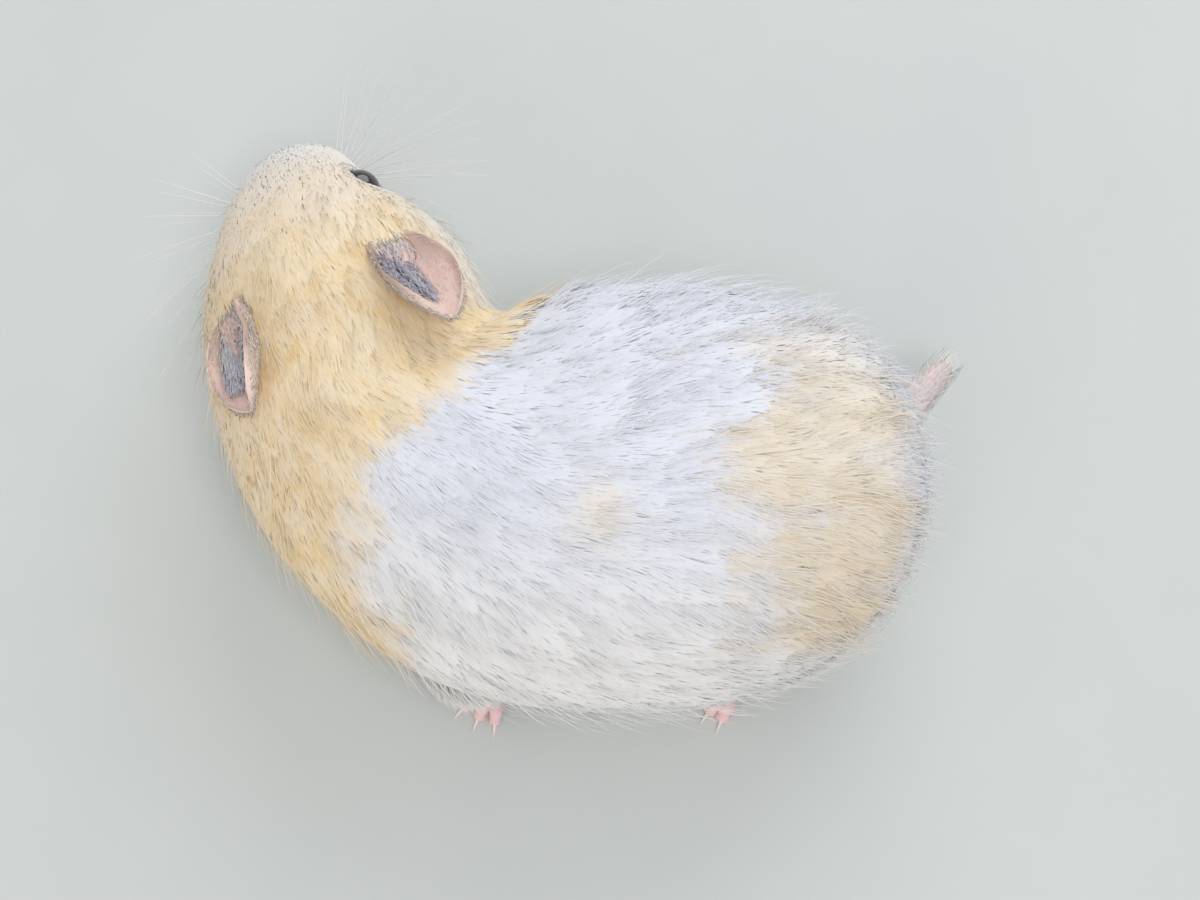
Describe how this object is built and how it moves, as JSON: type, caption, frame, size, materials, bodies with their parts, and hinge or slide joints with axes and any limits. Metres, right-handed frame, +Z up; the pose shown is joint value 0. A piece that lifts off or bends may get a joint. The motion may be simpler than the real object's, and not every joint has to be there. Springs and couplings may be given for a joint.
{
  "type": "syrian hamster",
  "caption": "Life-size still model of a cream and white banded Syrian hamster, crouching on its four feet with its head turned to its right.",
  "frame": {"origin": "on the floor, under the middle of the box round the whole animal", "axes": "+X forwards along the trunk, from rump to shoulders; +Y the animal's left; +Z up"},
  "size_m": [0.1032, 0.0816, 0.0493],
  "materials": {
    "cream_coat": "soft fur, warm cream with golden streaks",
    "white_coat": "soft fur, white",
    "bare_skin": "pale pink bare skin, with pale claws on the toes",
    "ear_skin": "thin pinkish grey skin with fine pale hairs",
    "eye": "wet black gloss"
  },
  "bodies": {
    "root": {"head": "cream_coat", "neck": "white_coat", "trunk": "white_coat", "rump": "cream_coat", "foreleg_left": "white_coat", "foreleg_right": "white_coat", "hindleg_left": "cream_coat", "hindleg_right": "cream_coat", "forepaw_left": "bare_skin", "forepaw_right": "bare_skin", "hindpaw_left": "bare_skin", "hindpaw_right": "bare_skin", "tail": "bare_skin", "nose": "bare_skin", "ear_left": "ear_skin", "ear_right": "ear_skin", "eye_left": "eye", "eye_right": "eye"}
  },
  "joints": []
}
